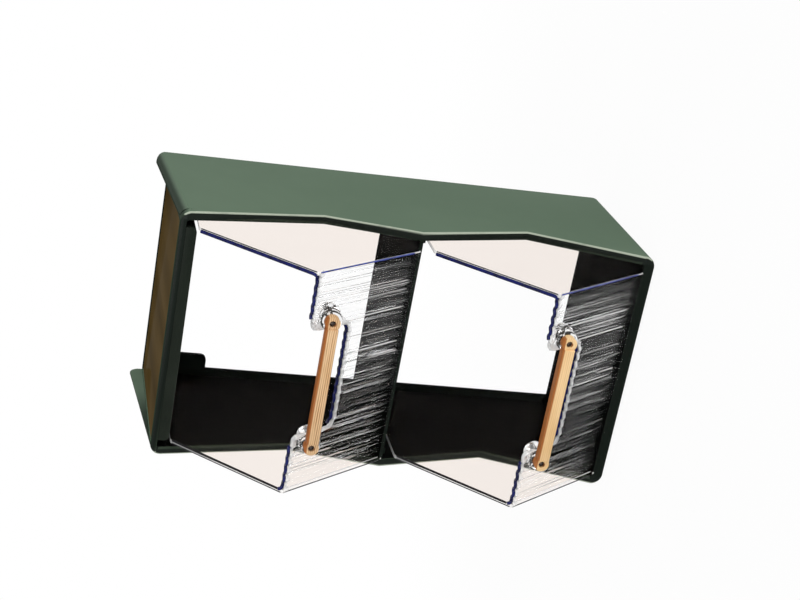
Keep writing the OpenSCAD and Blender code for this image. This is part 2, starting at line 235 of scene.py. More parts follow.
def makeBoard():
    d = deckBoard
    material, flow = newFinish("deckBoard")
    bands = noise(flow, place(flow, (1, 0.12, 1)), 34.0, 2.0, 0.4)
    cloud = noise(flow, place(flow), 16.0, 3.0)
    grain = noise(flow, place(flow, (1, 0.05, 1)), 420.0, 3.0)
    tone = flow.add("ShaderNodeValToRGB", {"stops": [(0.30, d["dark"]), (0.52, d["mid"]), (0.75, d["light"])]},
                    {0: bands * 0.8 + cloud * 0.14 + grain * 0.06})
    closeFinish(flow, {
        "Base Color": tone,
        "Roughness": cloud * 0.08 + 0.30,
        "Specular IOR Level": 0.0,
        "Coat Weight": cloud * 0.02 + 0.015,
        "Coat Roughness": 0.08,
        "Normal": bump(flow, grain, 0.03, 0.0002),
    })
    return material


# Tan wood of the handles, pinker on the upper one, with fine brown lines along the front, a brown top, and a band
# of painted shade in the same brown along the top of the front
handleWood = dict(
    pale=(0.93, 0.66, 0.36), tan=(0.85, 0.56, 0.27), pinkPale=(0.80, 0.56, 0.33), pinkTan=(0.72, 0.47, 0.25),
    line=(0.36, 0.16, 0.055), top=(0.34, 0.095, 0.016), linePitch=0.00122, lineWander=5.0,
    pinkFrom=0.14, pinkFade=0.02, browFrom=0.0024, browFade=0.0004, browTo=0.0060, browEndFade=0.001,
)


def makeWood():
    h = handleWood
    material, flow = newFinish("handleWood")
    cloud = noise(flow, place(flow, (0.2, 1, 1)), 120.0, 3.0)
    fibre = noise(flow, place(flow, (0.03, 1, 1)), 1500.0, 4.0, 0.6)
    drift = noise(flow, place(flow, (0.25, 1, 1)), 160.0, 2.0, 0.5)
    high = axes(flow, place(flow)).out("Z")
    lines = flow.math("COSINE", high * (2 * math.pi / h["linePitch"]) + drift * h["lineWander"]) * 0.5 + 0.5
    pink = high.step(h["pinkFrom"], h["pinkFrom"] + h["pinkFade"])
    lines = lines.step(0.30, 0.80) * (fibre.step(0.35, 0.65) * 0.55 + 0.25) * (pink * 0.85 + 0.35)
    facing = normalAxes(flow)
    grown = cloud.step(0.35, 0.7)
    tone = flow.blend(pink, flow.blend(grown, h["pale"], h["tan"]),
                      flow.blend(grown, h["pinkPale"], h["pinkTan"]))
    tone = flow.blend(lines, tone, h["line"])
    brown = facing.out("Z").step(0.45, 0.85)
    # Painted shade: the brown of the top runs a little way down the top of each front
    for node in ("upper_handle", "lower_handle"):
        boxLow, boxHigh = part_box(node)
        rise = high - (boxLow.z + boxHigh.z) / 2
        brow = rise.step(h["browFrom"], h["browFrom"] + h["browFade"])
        brow = brow * (1 - rise.step(h["browTo"], h["browTo"] + h["browEndFade"]))
        brown = flow.math("MAXIMUM", brown, brow)
    tone = flow.blend(brown * (fibre * 0.2 + 0.8), tone, h["top"])
    closeFinish(flow, {
        "Base Color": tone,
        "Roughness": fibre * 0.25 + 0.34,
        "Specular IOR Level": 0.05,
        "Normal": bump(flow, fibre * 0.6 + lines * 0.4, 0.12, 0.0003),
    })
    return material


# Clear plastic of the drawers: nearly unseen walls, and long thin streaks of painted refraction, grey and less
# clear, down the flanks of the flutes
clearPlastic = dict(
    tint=(0.995, 0.992, 0.985), streakTint=(0.66, 0.65, 0.64), lumpTint=(0.86, 0.86, 0.86),
    sideTint=(0.956, 0.920, 0.894), frontFrom=-0.0325, frontFade=0.004, frontHalf=0.0680, halfFade=0.0008,
    flutePitch=0.137 / 24, ior=1.49, wallAlpha=0.006, sideShine=0.01, frontAlpha=0.03, streakAlpha=0.85,
)


def makeClear():
    c = clearPlastic
    material, flow = newFinish("clearPlastic")
    spot = place(flow)
    where = axes(flow, spot)
    across = flow.math("ABSOLUTE", where.out("X"))
    ahead = 1 - where.out("Y").step(c["frontFrom"] - c["frontFade"], c["frontFrom"])
    ahead = ahead * (1 - across.step(c["frontHalf"], c["frontHalf"] + c["halfFade"]))
    # Painted refraction: grey, less clear streaks along the flanks of the flutes
    flank = 1 - flow.math("ABSOLUTE", flow.math("COSINE", where.out("X") * (2 * math.pi / c["flutePitch"])))
    broad = noise(flow, place(flow, (1, 0.010, 0.010)), 240.0, 2.0)
    fine = noise(flow, place(flow, (1, 0.006, 0.006)), 1300.0, 2.0)
    streak = flank.step(0.55, 0.98) * broad.step(0.49, 0.61)
    streak = flow.math("MAXIMUM", streak, fine.step(0.61, 0.69) * 0.7) * ahead
    frontShare, streakShare = c["frontAlpha"] - c["wallAlpha"], c["streakAlpha"] - c["frontAlpha"]
    closeFinish(flow, {
        "Base Color": flow.blend(streak, c["tint"], c["streakTint"]),
        "Roughness": streak * 0.04,
        "IOR": c["ior"],
        "Transmission Weight": 1.0,
        "Alpha": ahead * frontShare + streak * streakShare + c["wallAlpha"],
        "Normal": bump(flow, fine * ahead, 0.15, 0.0004),
    })
    return material


# The side walls, with a faint warm tint
def makeSide():
    c = clearPlastic
    material, flow = newFinish("clearSide")
    cloud = noise(flow, place(flow), 60.0, 2.0)
    shine = flow.add("ShaderNodeBsdfPrincipled", None, {
        "Base Color": (*c["tint"], 1),
        "Roughness": cloud * 0.03,
        "IOR": c["ior"],
        "Transmission Weight": 1.0,
    })
    veil = flow.add("ShaderNodeBsdfTransparent", None, {"Color": (*c["sideTint"], 1)})
    mixed = flow.add("ShaderNodeMixShader", None, {0: cloud * c["sideShine"], 1: veil, 2: shine})
    flow.add("ShaderNodeOutputMaterial", None, {"Surface": mixed})
    return material


# The solid lugs
def makeLump():
    c = clearPlastic
    material, flow = newFinish("clearLump")
    cloud = noise(flow, place(flow), 120.0, 2.0)
    closeFinish(flow, {
        "Base Color": flow.blend(cloud, c["tint"], c["lumpTint"]),
        "Roughness": cloud * 0.03,
        "IOR": c["ior"],
        "Transmission Weight": 1.0,
        "Normal": bump(flow, cloud, 0.1, 0.0004),
    })
    return material


# Polished edges of the clear plastic, which gather light and look whiter
clearEdge = dict(tint=(0.97, 0.97, 0.96), milk=(0.86, 0.86, 0.86), alpha=0.85, clearness=0.45)


def makeEdge():
    e = clearEdge
    material, flow = newFinish("clearEdge")
    streak = noise(flow, place(flow), 900.0, 3.0, 0.6)
    closeFinish(flow, {
        "Base Color": flow.blend(streak.step(0.35, 0.7), e["tint"], e["milk"]),
        "Roughness": streak * 0.2 + 0.05,
        "IOR": clearPlastic["ior"],
        "Transmission Weight": e["clearness"],
        "Alpha": e["alpha"],
        "Normal": bump(flow, streak, 0.3, 0.0004),
    })
    return material


# Colours of the dark lines along the edges of the clear drawers
edgeLineTones = dict(
    navy=dict(base=(0.004, 0.008, 0.095), deep=(0.002, 0.003, 0.030)),
    blue=dict(base=(0.045, 0.070, 0.330), deep=(0.020, 0.030, 0.150)),
    smoke=dict(base=(0.020, 0.020, 0.024), deep=(0.060, 0.060, 0.062)),
    coal=dict(base=(0.003, 0.003, 0.004), deep=(0.012, 0.010, 0.010)),
)


def makeLineTone(name):
    lineTone = edgeLineTones[name]
    material, flow = newFinish(name + "Ink")
    cloud = noise(flow, place(flow), 240.0, 3.0)
    closeFinish(flow, {
        "Base Color": flow.blend(cloud.step(0.4, 0.65), lineTone["base"], lineTone["deep"]),
        "Roughness": cloud * 0.1 + 0.18,
        "Specular IOR Level": 0.1,
        "Coat Weight": cloud * 0.1 + 0.05,
        "Coat Roughness": 0.1,
    })
    return material


# Dark steel of the screws and nuts
darkSteel = dict(base=(0.055, 0.045, 0.040), paler=(0.16, 0.13, 0.11))


def makeSteel():
    d = darkSteel
    material, flow = newFinish("darkSteel")
    wear = noise(flow, place(flow), 700.0, 4.0)
    turned = noise(flow, place(flow, (1, 0.1, 1)), 2400.0, 2.0)
    closeFinish(flow, {
        "Base Color": flow.blend(wear.step(0.4, 0.75), d["base"], d["paler"]),
        "Metallic": 1.0,
        "Roughness": wear * 0.2 + 0.2,
        "Normal": bump(flow, turned, 0.06, 0.0001),
    })
    return material


# Black rubber of the feet
footRubber = dict(base=(0.014, 0.015, 0.014), dusty=(0.035, 0.034, 0.032))


def makeRubber():
    f = footRubber
    material, flow = newFinish("footRubber")
    dust = noise(flow, place(flow), 240.0, 4.0)
    closeFinish(flow, {
        "Base Color": flow.blend(dust.step(0.4, 0.8), f["base"], f["dusty"]),
        "Roughness": dust * 0.2 + 0.65,
        "Normal": bump(flow, dust, 0.2, 0.0003),
    })
    return material


finishes = dict(
    green=makeGreen(), bar=makeBar(), board=makeBoard(), wood=makeWood(), clear=makeClear(), clearSide=makeSide(),
    clearEdge=makeEdge(), clearLump=makeLump(), steel=makeSteel(), rubber=makeRubber(),
    **{lineTone: makeLineTone(lineTone) for lineTone in edgeLineTones},
)
print("finishes made:", len(finishes))


def newPiece(name, mesh):
    piece = bpy.data.objects.new(name, mesh)
    bpy.context.scene.collection.objects.link(piece)
    return piece


def settle(piece):  # modifiers become plain mesh
    bpy.context.view_layer.update()
    graph = bpy.context.evaluated_depsgraph_get()
    shape = piece.evaluated_get(graph)
    mesh = bpy.data.meshes.new_from_object(shape, preserve_all_data_layers=True, depsgraph=graph)
    piece.modifiers.clear()
    piece.data = mesh
    return piece


def smooth(piece, angle):
    piece.data.polygons.foreach_set("use_smooth", [True] * len(piece.data.polygons))
    piece.data.set_sharp_from_angle(angle=math.radians(angle))
    return piece


def newTree(name, sizes):
    tree = bpy.data.node_groups.new(name, "GeometryNodeTree")
    tree.interface.new_socket("Geometry", in_out="INPUT", socket_type="NodeSocketGeometry")
    for size in sizes:
        tree.interface.new_socket(size, in_out="INPUT", socket_type="NodeSocketFloat")
    tree.interface.new_socket("Geometry", in_out="OUTPUT", socket_type="NodeSocketGeometry")
    flow = Flow(tree)
    return tree, flow, flow.add("NodeGroupInput")


def closeTree(flow, shape, finish):
    whole = flow.add("GeometryNodeRealizeInstances", None, {"Geometry": shape})
    painted = flow.add("GeometryNodeSetMaterial", None, {"Geometry": whole, "Material": finish})
    flow.add("NodeGroupOutput", None, {0: painted})


def grow(piece, tree, sizes):
    modifier = piece.modifiers.new(tree.name, "NODES")
    modifier.node_group = tree
    for item in tree.interface.items_tree:
        if item.in_out == "INPUT" and item.name in sizes:
            modifier[item.identifier] = sizes[item.name]


# Rigid pieces that keep the CAD shape and get rounded edges
roundedPieces = dict(
    shell=dict(finish="green", edge=0.0012, innerShare=0.4, slot="housing_green", body="housing"),
    mid_shelf=dict(finish="green", edge=0.0004, slot="housing_green", body="housing"),
    top_board=dict(finish="board", edge=0.0003, slot="deck_brown", body="housing"),
    stop_bar=dict(finish="bar", edge=0.0003, slot="housing_green", body="housing"),
    upper_handle=dict(finish="wood", edge=0.0004, slot="handle_wood", body="upper_drawer_unit"),
    lower_handle=dict(finish="wood", edge=0.0004, slot="handle_wood", body="lower_drawer_unit"),
)
for foot in ("front_left_foot", "front_right_foot", "back_left_foot", "back_right_foot"):
    roundedPieces[foot] = dict(finish="rubber", edge=0.0003, slot="foot_rubber", body="housing")
# Points closer than weld join, folds under flatAngle vanish, and folds over sharpAngle are rounded
rounding = dict(weld=2e-5, flatAngle=0.4, sharpAngle=32, segments=3)

# Front edges of the housing: its outline is rounded most, the straight edges of the bays less, the rest stay sharp
frontEdges = dict(half=0.080, low=0.0015, high=0.2971, round=0.007, slack=0.0002,
                  innerHalf=0.0752, innerHigh=0.2928, innerLength=0.005)


def onOutline(point):
    f = frontEdges
    dx = abs(point.x) - f["half"] + f["round"]
    dz = abs(point.z - (f["low"] + f["high"]) / 2) - (f["high"] - f["low"]) / 2 + f["round"]
    return max(dx, dz) > 0 and abs(math.hypot(max(dx, 0), max(dz, 0)) - f["round"]) < f["slack"]


def edgeShare(line, innerShare):
    ends = [v.co for v in line.verts]
    if not line.is_convex or any(p.y > 0 for p in ends):
        return 0.0
    if all(onOutline(p) for p in ends):
        return 1.0
    inner = all(abs(p.x) < frontEdges["innerHalf"] and p.z < frontEdges["innerHigh"] for p in ends)
    return innerShare if inner and line.calc_length() > frontEdges["innerLength"] else 0.0


def roundedCopy(node, spec):
    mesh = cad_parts[node].data.copy()
    bm = bmesh.new()
    bm.from_mesh(mesh)
    bmesh.ops.remove_doubles(bm, verts=bm.verts, dist=rounding["weld"])
    flat, sharp = math.radians(rounding["flatAngle"]), math.radians(rounding["sharpAngle"])
    bmesh.ops.dissolve_limit(bm, angle_limit=flat, verts=bm.verts, edges=bm.edges)
    if "innerShare" in spec:
        share = bm.edges.layers.float.new("bevel_weight_edge")
        for line in bm.edges:
            if line.calc_face_angle(0) > sharp:
                line[share] = edgeShare(line, spec["innerShare"])
                line.smooth = line[share] > 0
    bm.to_mesh(mesh)
    bm.free()
    mesh.materials.clear()
    mesh.materials.append(finishes[spec["finish"]])
    piece = newPiece(node + "_skin", mesh)
    edge = piece.modifiers.new("edge", "BEVEL")
    edge.width = spec["edge"]
    edge.segments = rounding["segments"]
    edge.limit_method = "WEIGHT" if "innerShare" in spec else "ANGLE"
    edge.angle_limit = sharp
    edge.harden_normals = True
    edge.use_clamp_overlap = "innerShare" not in spec
    mesh.polygons.foreach_set("use_smooth", [True] * len(mesh.polygons))
    settle(piece)
    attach(piece, spec["body"])
    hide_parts(node)


for node, spec in roundedPieces.items():
    roundedCopy(node, spec)
print("rounded pieces made:", len(roundedPieces))


# The clear drawers
clearDrawer = dict(
    width=0.142, depth=0.106, height=0.1335, mouthReach=0.055, mouthHeight=0.070, toeReach=0.004,
    wall=0.0023, toeRound=0.004, heelRound=0.004, topRound=0.004, mouthRound=0.0018, sideRound=0.0016,
    fluteWidth=0.137, fluteCount=24, fluteSteps=10, fluteDepth=0.0015,
    beadProud=0.0007, beadHeight=0.0032, cutDrop=0.0320, rimEdge=0.0005,
    lugSpan=0.080, lugDrop=0.0125, lugRadius=0.0065, lugFront=0.05007, lugBack=0.03531, lugHole=0.0011,
    lugSoft=0.0014, lugSides=32, cutColumns=59, cutRoundColumns=10, lipRoundColumns=12,
    bandStep=0.006, bandRows=6, cutRows=6, sideRows=16, cutMargin=0.0005, edgeKeep=0.0008, beadFrom=0.7,
    sideSegments=3, rimSegments=2, rimAngle=55, smoothAngle=42, tiny=1e-7,
)
cd = clearDrawer
slopeDir = Vector((-(cd["mouthReach"] - cd["toeReach"]), cd["mouthHeight"]))
slopeLen = slopeDir.length
slopeDir.normalize()
lean = math.atan2(cd["mouthReach"] - cd["toeReach"], cd["mouthHeight"])
inward = Vector((math.cos(lean), math.sin(lean)))
pitch = cd["fluteWidth"] / cd["fluteCount"]
columnStep = pitch / cd["fluteSteps"]
cutHalf = cd["cutColumns"] * columnStep
cutRound = cd["cutRoundColumns"] * columnStep
lipRound = cd["lipRoundColumns"] * columnStep
handleZ = cd["mouthHeight"] - cd["lugDrop"]


def onFront(s):  # y and z of a point up the slope of the front
    return (-cd["toeReach"] + slopeDir.x * s, slopeDir.y * s)


def roundCorner(before, corner, after, radius, steps):
    a, p, b = Vector(before), Vector(corner), Vector(after)
    u, v = (a - p).normalized(), (b - p).normalized()
    half = u.angle(v) / 2
    centre = p + (u + v).normalized() * (radius / math.sin(half))
    start = p + u * (radius / math.tan(half)) - centre
    stop = p + v * (radius / math.tan(half)) - centre
    total = math.atan2(start.x * stop.y - start.y * stop.x, start.dot(stop))
    points = []
    for i in range(steps + 1):
        t = total * i / steps
        cos, sin = math.cos(t), math.sin(t)
        turned = Vector((start.x * cos - start.y * sin, start.x * sin + start.y * cos))
        points.append(tuple(centre + turned))
    return points


toe, heel = (-cd["toeReach"], 0.0), (cd["depth"], 0.0)
backTop, frontTop = (cd["depth"], cd["height"]), (0.0, cd["height"])
mouth = (-cd["mouthReach"], cd["mouthHeight"])
mouthArc = roundCorner(toe, mouth, frontTop, cd["mouthRound"], 3)
toeArc = roundCorner(mouth, toe, heel, cd["toeRound"], 5)
heelArc = roundCorner(toe, heel, backTop, cd["heelRound"], 5)
topArc = roundCorner(mouth, frontTop, backTop, cd["topRound"], 5)
rimTop = slopeLen - (Vector(mouth) - Vector(mouthArc[0])).length


def rimHeight(x):  # how far up the slope the front reaches at a place across it
    x = abs(x)
    if x >= cutHalf + lipRound:
        return rimTop
    if x >= cutHalf - 1e-9:
        return rimTop - lipRound + math.sqrt(max(lipRound ** 2 - (cutHalf + lipRound - x) ** 2, 0))
    low = rimTop - cd["cutDrop"]
    if x > cutHalf - cutRound:
        return low + cutRound - math.sqrt(max(cutRound ** 2 - (x - cutHalf + cutRound) ** 2, 0))
    return low


def drawerSheet():
    half = cd["width"] / 2
    count = cd["fluteCount"] * cd["fluteSteps"]
    across = [-half] + [-cd["fluteWidth"] / 2 + columnStep * i for i in range(count + 1)] + [half]
    low = (Vector(toeArc[0]) - Vector(toe)).length
    shoulder = rimTop - cd["cutDrop"] + cutRound
    lowTop = rimTop - cd["cutDrop"] - cd["cutMargin"]
    band, rows = cd["bandStep"], cd["bandRows"]
    plain = [low + (lowTop - band - low) * i / rows for i in range(rows + 1)]
    plain += [lowTop - band + band * i / rows for i in range(1, rows + 1)]
    stageA, stageB = cd["cutRows"], cd["sideRows"]
    bm = bmesh.new()
    spots = {}

    def vert(x, y, z):
        key = (round(x, 7), round(y, 7), round(z, 7))
        if key not in spots:
            spots[key] = bm.verts.new((x, y, z))
        return spots[key]

    # One column of points for each place across, from the rim down the front, along the floor and up the back
    columns = []
    for x in across:
        inCut = abs(x) < cutHalf - cd["tiny"]
        top = rimHeight(x)
        mid = top if inCut else shoulder
        heights = plain + [lowTop + (mid - lowTop) * i / stageA for i in range(1, stageA + 1)]
        if not inCut:
            heights += [mid + (top - mid) * i / stageB for i in range(1, stageB + 1)]
        front = [vert(x, *onFront(s)) for s in reversed(heights)]
        under = [vert(x, *p) for p in toeArc[1:] + heelArc] + [vert(x, *backTop)]
        columns.append((inCut, front, under))
    for (cutA, frontA, underA), (cutB, frontB, underB) in zip(columns, columns[1:]):
        shared = min(len(frontA), len(frontB))
        a = (frontA[-shared:] if cutA or cutB else frontA) + underA
        b = (frontB[-shared:] if cutA or cutB else frontB) + underB
        for i in range(len(a) - 1):
            corners = [a[i], a[i + 1], b[i + 1], b[i]]
            if len(set(corners)) == 4:
                bm.faces.new(corners)
    # Side walls close the ends of that strip
    rim = [vert(-half, *p) for p in reversed(mouthArc[1:] + topArc)]
    bm.faces.new((columns[0][1] + columns[0][2] + rim)[::-1])
    rim = [vert(half, *p) for p in reversed(mouthArc[1:] + topArc)]
    bm.faces.new(columns[-1][1] + columns[-1][2] + rim)
    bmesh.ops.remove_doubles(bm, verts=bm.verts, dist=cd["tiny"])
    corner = [e for e in bm.edges if len(e.link_faces) == 2
              and all(abs(abs(v.co.x) - half) < cd["tiny"] for v in e.verts)
              and any(abs(f.normal.x) < 0.5 for f in e.link_faces)]
    bmesh.ops.bevel(bm, geom=corner, offset=cd["sideRound"], segments=cd["sideSegments"], profile=0.5,
                    affect="EDGES")
    return bm


def rimGap(x, s):  # distance to the rim's outline, on the slope
    x = abs(x)
    outline = [(cd["width"] / 2, rimTop), (cutHalf + lipRound, rimTop)]
    outline += [(cutHalf + lipRound - lipRound * math.sin(a), rimTop - lipRound + lipRound * math.cos(a))
                for a in np.linspace(0, math.pi / 2, 9)]
    low = rimTop - cd["cutDrop"]
    outline += [(cutHalf - cutRound + cutRound * math.cos(a), low + cutRound - cutRound * math.sin(a))
                for a in np.linspace(0, math.pi / 2, 9)]
    outline += [(0.0, low)]
    points = np.array(outline)
    a, b = points[:-1], points[1:]
    d = b - a
    t = np.clip(((np.array([x, s]) - a) * d).sum(1) / np.maximum((d * d).sum(1), 1e-18), 0, 1)
    return float(np.sqrt((((a + d * t[:, None]) - [x, s]) ** 2).sum(1).min()))


def tagFront(mesh):
    flutes = mesh.attributes.new("flutes", "FLOAT", "POINT")
    gap = mesh.attributes.new("rimGap", "FLOAT", "POINT")
    toeTop = toeArc[0][1]
    for v in mesh.vertices:
        x, y, z = v.co
        s = z / slopeDir.y
        off = abs((y + cd["toeReach"] - slopeDir.x * s) * inward.x)
        onIt = off < 2e-5 and z >= toeTop - 1e-6
        weight = 1.0 if onIt else max(0.0, z / toeTop) if y < toeArc[-1][0] + 1e-6 and z < toeTop else 0.0
        flutes.data[v.index].value = weight if abs(x) <= cd["fluteWidth"] / 2 + 1e-6 else 0.0
        gap.data[v.index].value = rimGap(x, s) if onIt and abs(x) < cd["width"] / 2 - cd["edgeKeep"] else 1.0


def waveAcross(flow, x, pitchSize, depthSize, leanCos):  # depth of the flutes, measured along Y
    turns = flow.math("COSINE", x * (2 * math.pi) / pitchSize)
    return (1 - turns) * depthSize * 0.5 / leanCos


def fluteTree():
    tree, flow, given = newTree("fluteWave", ["Flute Pitch", "Flute Depth", "Lean Cosine", "Bead Proud",
                                              "Bead Height"])
    x = axes(flow, flow.add("GeometryNodeInputPosition")).out("X")
    flutes = flow.add("GeometryNodeInputNamedAttribute", {"data_type": "FLOAT"}, {"Name": "flutes"})
    gap = flow.add("GeometryNodeInputNamedAttribute", {"data_type": "FLOAT"}, {"Name": "rimGap"})
    wave = waveAcross(flow, x, given.out("Flute Pitch"), given.out("Flute Depth"), given.out("Lean Cosine"))
    bead = 1 - gap.step(given.out("Bead Height") * cd["beadFrom"], given.out("Bead Height"))
    shift = (wave + (1 - bead) * given.out("Bead Proud") / given.out("Lean Cosine")) * flutes
    moved = flow.add("GeometryNodeSetPosition", None,
                     {"Geometry": given, "Offset": vector(flow, Y=shift)})
    closeTree(flow, moved, finishes["clear"])
    return tree


def lugMesh():
    bm = bmesh.new()
    r, hole, soft, sides = cd["lugRadius"], cd["lugHole"], cd["lugSoft"], cd["lugSides"]
    front, back = -cd["lugFront"], -cd["lugBack"]
    quarter = np.linspace(0, math.pi / 2, 5)
    outline = [(hole, front)]
    outline += [(r - soft + soft * math.sin(a), front + soft - soft * math.cos(a)) for a in quarter]
    outline += [(r - soft + soft * math.cos(a), back - soft + soft * math.sin(a)) for a in quarter]
    outline += [(hole, back)]
    turns = np.linspace(0, 2 * math.pi, sides + 1)[:-1]
    for side in (-1, 1):
        middle = side * cd["lugSpan"] / 2
        rings = [[bm.verts.new((middle + radius * math.cos(t), y, handleZ + radius * math.sin(t))) for t in turns]
                 for radius, y in outline]
        for a, b in zip(rings, rings[1:] + rings[:1]):
            for i in range(sides):
                j = (i + 1) % sides
                bm.faces.new((a[i], a[j], b[j], b[i]))
    bmesh.ops.recalc_face_normals(bm, faces=bm.faces)
    mesh = bpy.data.meshes.new("lugs")
    bm.to_mesh(mesh)
    bm.free()
    mesh.materials.append(finishes["clear"])
    return mesh


# The bead along the rim and the long corners get the whiter edge finish, the lugs the full clear one,
# and the side walls the warm one
faceRules = dict(frontSlack=0.001, lugSlack=0.0003, slack=0.0005, cornerLeast=0.4, cornerMost=0.93, sideLeast=0.97)


def dressFaces(mesh):
    f = faceRules
    half, deepest = cd["width"] / 2, cd["wall"] + cd["fluteDepth"] + cd["beadProud"] + f["frontSlack"]
    lugFront, lugBack = -cd["lugFront"] - f["slack"], -cd["lugBack"] + f["slack"]
    for face in mesh.polygons:
        x, y, z = face.center
        depth = (y + cd["toeReach"]) * inward.x + z * inward.y
        s = (y + cd["toeReach"]) * slopeDir.x + z * slopeDir.y
        offAxis = math.hypot(abs(x) - cd["lugSpan"] / 2, z - handleZ)
        sideways = abs(face.normal.x)
        if offAxis < cd["lugRadius"] + f["lugSlack"] and lugFront < y < lugBack:
            face.material_index = 2
        elif depth < deepest and rimGap(x, s) < cd["beadHeight"]:
            face.material_index = 1
        elif depth < deepest and abs(x) > half - cd["sideRound"] and f["cornerLeast"] < sideways < f["cornerMost"]:
            face.material_index = 1
        elif sideways > f["sideLeast"] and abs(x) > half - cd["wall"] - f["slack"] and face.material_index == 0:
            face.material_index = 3


def makeDrawer():
    bm = drawerSheet()
    mesh = bpy.data.meshes.new("drawerSheet")
    bm.to_mesh(mesh)
    bm.free()
    tagFront(mesh)
    for finish in ("clear", "clearEdge", "clearLump", "clearSide"):
        mesh.materials.append(finishes[finish])
    piece = newPiece("drawerForm", mesh)
    grow(piece, fluteTree(), {
        "Flute Pitch": pitch, "Flute Depth": cd["fluteDepth"], "Lean Cosine": math.cos(lean),
        "Bead Proud": cd["beadProud"], "Bead Height": cd["beadHeight"]})
    wall = piece.modifiers.new("wall", "SOLIDIFY")
    wall.thickness = cd["wall"]
    wall.offset = -1
    wall.use_even_offset = True
    wall.material_offset_rim = 1
    settle(piece)
    print("drawer walls:", len(piece.data.polygons), "faces")
    lugs = newPiece("lugForm", lugMesh())
    union = piece.modifiers.new("lugs", "BOOLEAN")
    union.operation = "UNION"
    union.solver = "MANIFOLD"
    union.object = lugs
    settle(piece)
    print("with lugs:", len(piece.data.polygons), "faces")
    bpy.data.objects.remove(lugs)
    edge = piece.modifiers.new("rim", "BEVEL")
    edge.width = cd["rimEdge"]
    edge.segments = cd["rimSegments"]
    edge.limit_method = "ANGLE"
    edge.angle_limit = math.radians(cd["rimAngle"])
    settle(piece)
    dressFaces(piece.data)
    return smooth(piece, cd["smoothAngle"])


# Lines on the edges of the drawers: navy along the rim and the right slope, black on the left slope,
# and thin ones on the outer edges
rimLine = dict(
    navyRadius=0.0011, blueRadius=0.00045, smokeRadius=0.00034, coalRadius=0.0007, inset=0.0021, turn=0.0024,
    sides=10, outset=0.0004, lugGap=0.007, lift=0.0004, toeFrom=0.006, cornerInset=0.0006, cutInset=0.0008,
    runSteps=24, bendSteps=8, edgeSteps=12, limitFade=0.0001,
)


def linePaths():
    half = cd["width"] / 2 - rimLine["inset"]
    count = cd["fluteCount"] * cd["fluteSteps"]
    xs = [-cd["fluteWidth"] / 2 + columnStep * i for i in range(count + 1)]
    wallIn = inward * rimLine["inset"]
    turn = rimLine["turn"]

    def rimPoint(x):
        y, z = onFront(rimHeight(x))
        return Vector((x, y + wallIn.x, z + wallIn.y))

    rise = (Vector(frontTop) - Vector(mouth)).normalized() * rimLine["lift"]
    low, high = Vector(mouthArc[-1]) + rise, Vector(topArc[0]) + rise
    toeEnd, rimEnd = Vector(onFront(rimLine["toeFrom"])), Vector(onFront(rimTop))
    navy, blue, smoke, coal = [], [], [], []
    runSteps, edgeSteps = rimLine["runSteps"], rimLine["edgeSteps"]
    bendSteps = np.linspace(0, 1, rimLine["bendSteps"] + 1)[1:]
    for side in (-1, 1):
        corner, end = Vector((side * half, *low)), Vector((side * half, *high))
        start, stop = corner + (end - corner).normalized() * turn, rimPoint(side * (half - turn))
        run = [end.lerp(start, i / runSteps) for i in range(runSteps + 1)]
        bend = [start.lerp(corner, t).lerp(corner.lerp(stop, t), t) for t in bendSteps]
        lip = [x for x in xs if cutHalf + rimLine["lugGap"] < side * x < half - turn]
        bend += [rimPoint(x) for x in sorted(lip, key=lambda x: -abs(x))]
        if side > 0:
            navy.append(run + bend)
        else:
            coal.append(run)
            navy.append(bend)
        edge, sink = side * (cd["width"] / 2 - rimLine["cornerInset"]), inward * rimLine["outset"]
        upright = [toeEnd.lerp(rimEnd, i / edgeSteps) + sink for i in range(edgeSteps + 1)]
        (blue if side > 0 else smoke).append([Vector((edge, *p)) for p in upright])
        edge = side * (cd["width"] / 2 - rimLine["outset"])
        smoke.append([Vector((edge, *high.lerp(low, i / edgeSteps))) for i in range(edgeSteps + 1)])
    navy.append([rimPoint(x) for x in xs if abs(x) < cutHalf - rimLine["cutInset"]])
    return dict(navy=navy, blue=blue, smoke=smoke, coal=coal)


def lineTree(lineTone):
    tree, flow, given = newTree(lineTone + "Line", ["Flute Pitch", "Flute Depth", "Lean Cosine", "Line Radius",
                                               "Flute Limit"])
    x = axes(flow, flow.add("GeometryNodeInputPosition")).out("X")
    limit = given.out("Flute Limit")
    inside = 1 - flow.math("ABSOLUTE", x).step(limit, limit + rimLine["limitFade"])
    wave = waveAcross(flow, x, given.out("Flute Pitch"), given.out("Flute Depth"), given.out("Lean Cosine"))
    moved = flow.add("GeometryNodeSetPosition", None,
                     {"Geometry": given, "Offset": vector(flow, Y=wave * inside)})
    curve = flow.add("GeometryNodeMeshToCurve", None, {"Mesh": moved})
    ring = flow.add("GeometryNodeCurvePrimitiveCircle", None,
                    {"Resolution": rimLine["sides"], "Radius": given.out("Line Radius")})
    tube = flow.add("GeometryNodeCurveToMesh", None, {"Curve": curve, "Profile Curve": ring, "Fill Caps": True})
    closeTree(flow, flow.add("GeometryNodeSetShadeSmooth", None, {"Geometry": tube}), finishes[lineTone])
    return tree


def makeLines():
    forms = {}
    for lineTone, paths in linePaths().items():
        mesh = bpy.data.meshes.new("rimPath")
        points, edges = [], []
        for path in paths:
            edges += [(len(points) + i, len(points) + i + 1) for i in range(len(path) - 1)]
            points += path
        mesh.from_pydata(points, edges, [])
        piece = newPiece(lineTone + "Form", mesh)
        grow(piece, lineTree(lineTone), {
            "Flute Pitch": pitch, "Flute Depth": cd["fluteDepth"], "Lean Cosine": math.cos(lean),
            "Line Radius": rimLine[lineTone + "Radius"], "Flute Limit": cd["fluteWidth"] / 2})
        forms[lineTone] = settle(piece)
    return forms


# Screws of the handles, with a cross recess
handleScrew = dict(headRadius=0.0018, headHeight=0.0012, shankRadius=0.001, seat=0.05297, tail=0.03291,
                   slotLength=0.0022, slotWidth=0.0005, slotDepth=0.0006,
                   headSides=28, headRings=14, shankSides=24, smoothAngle=30)


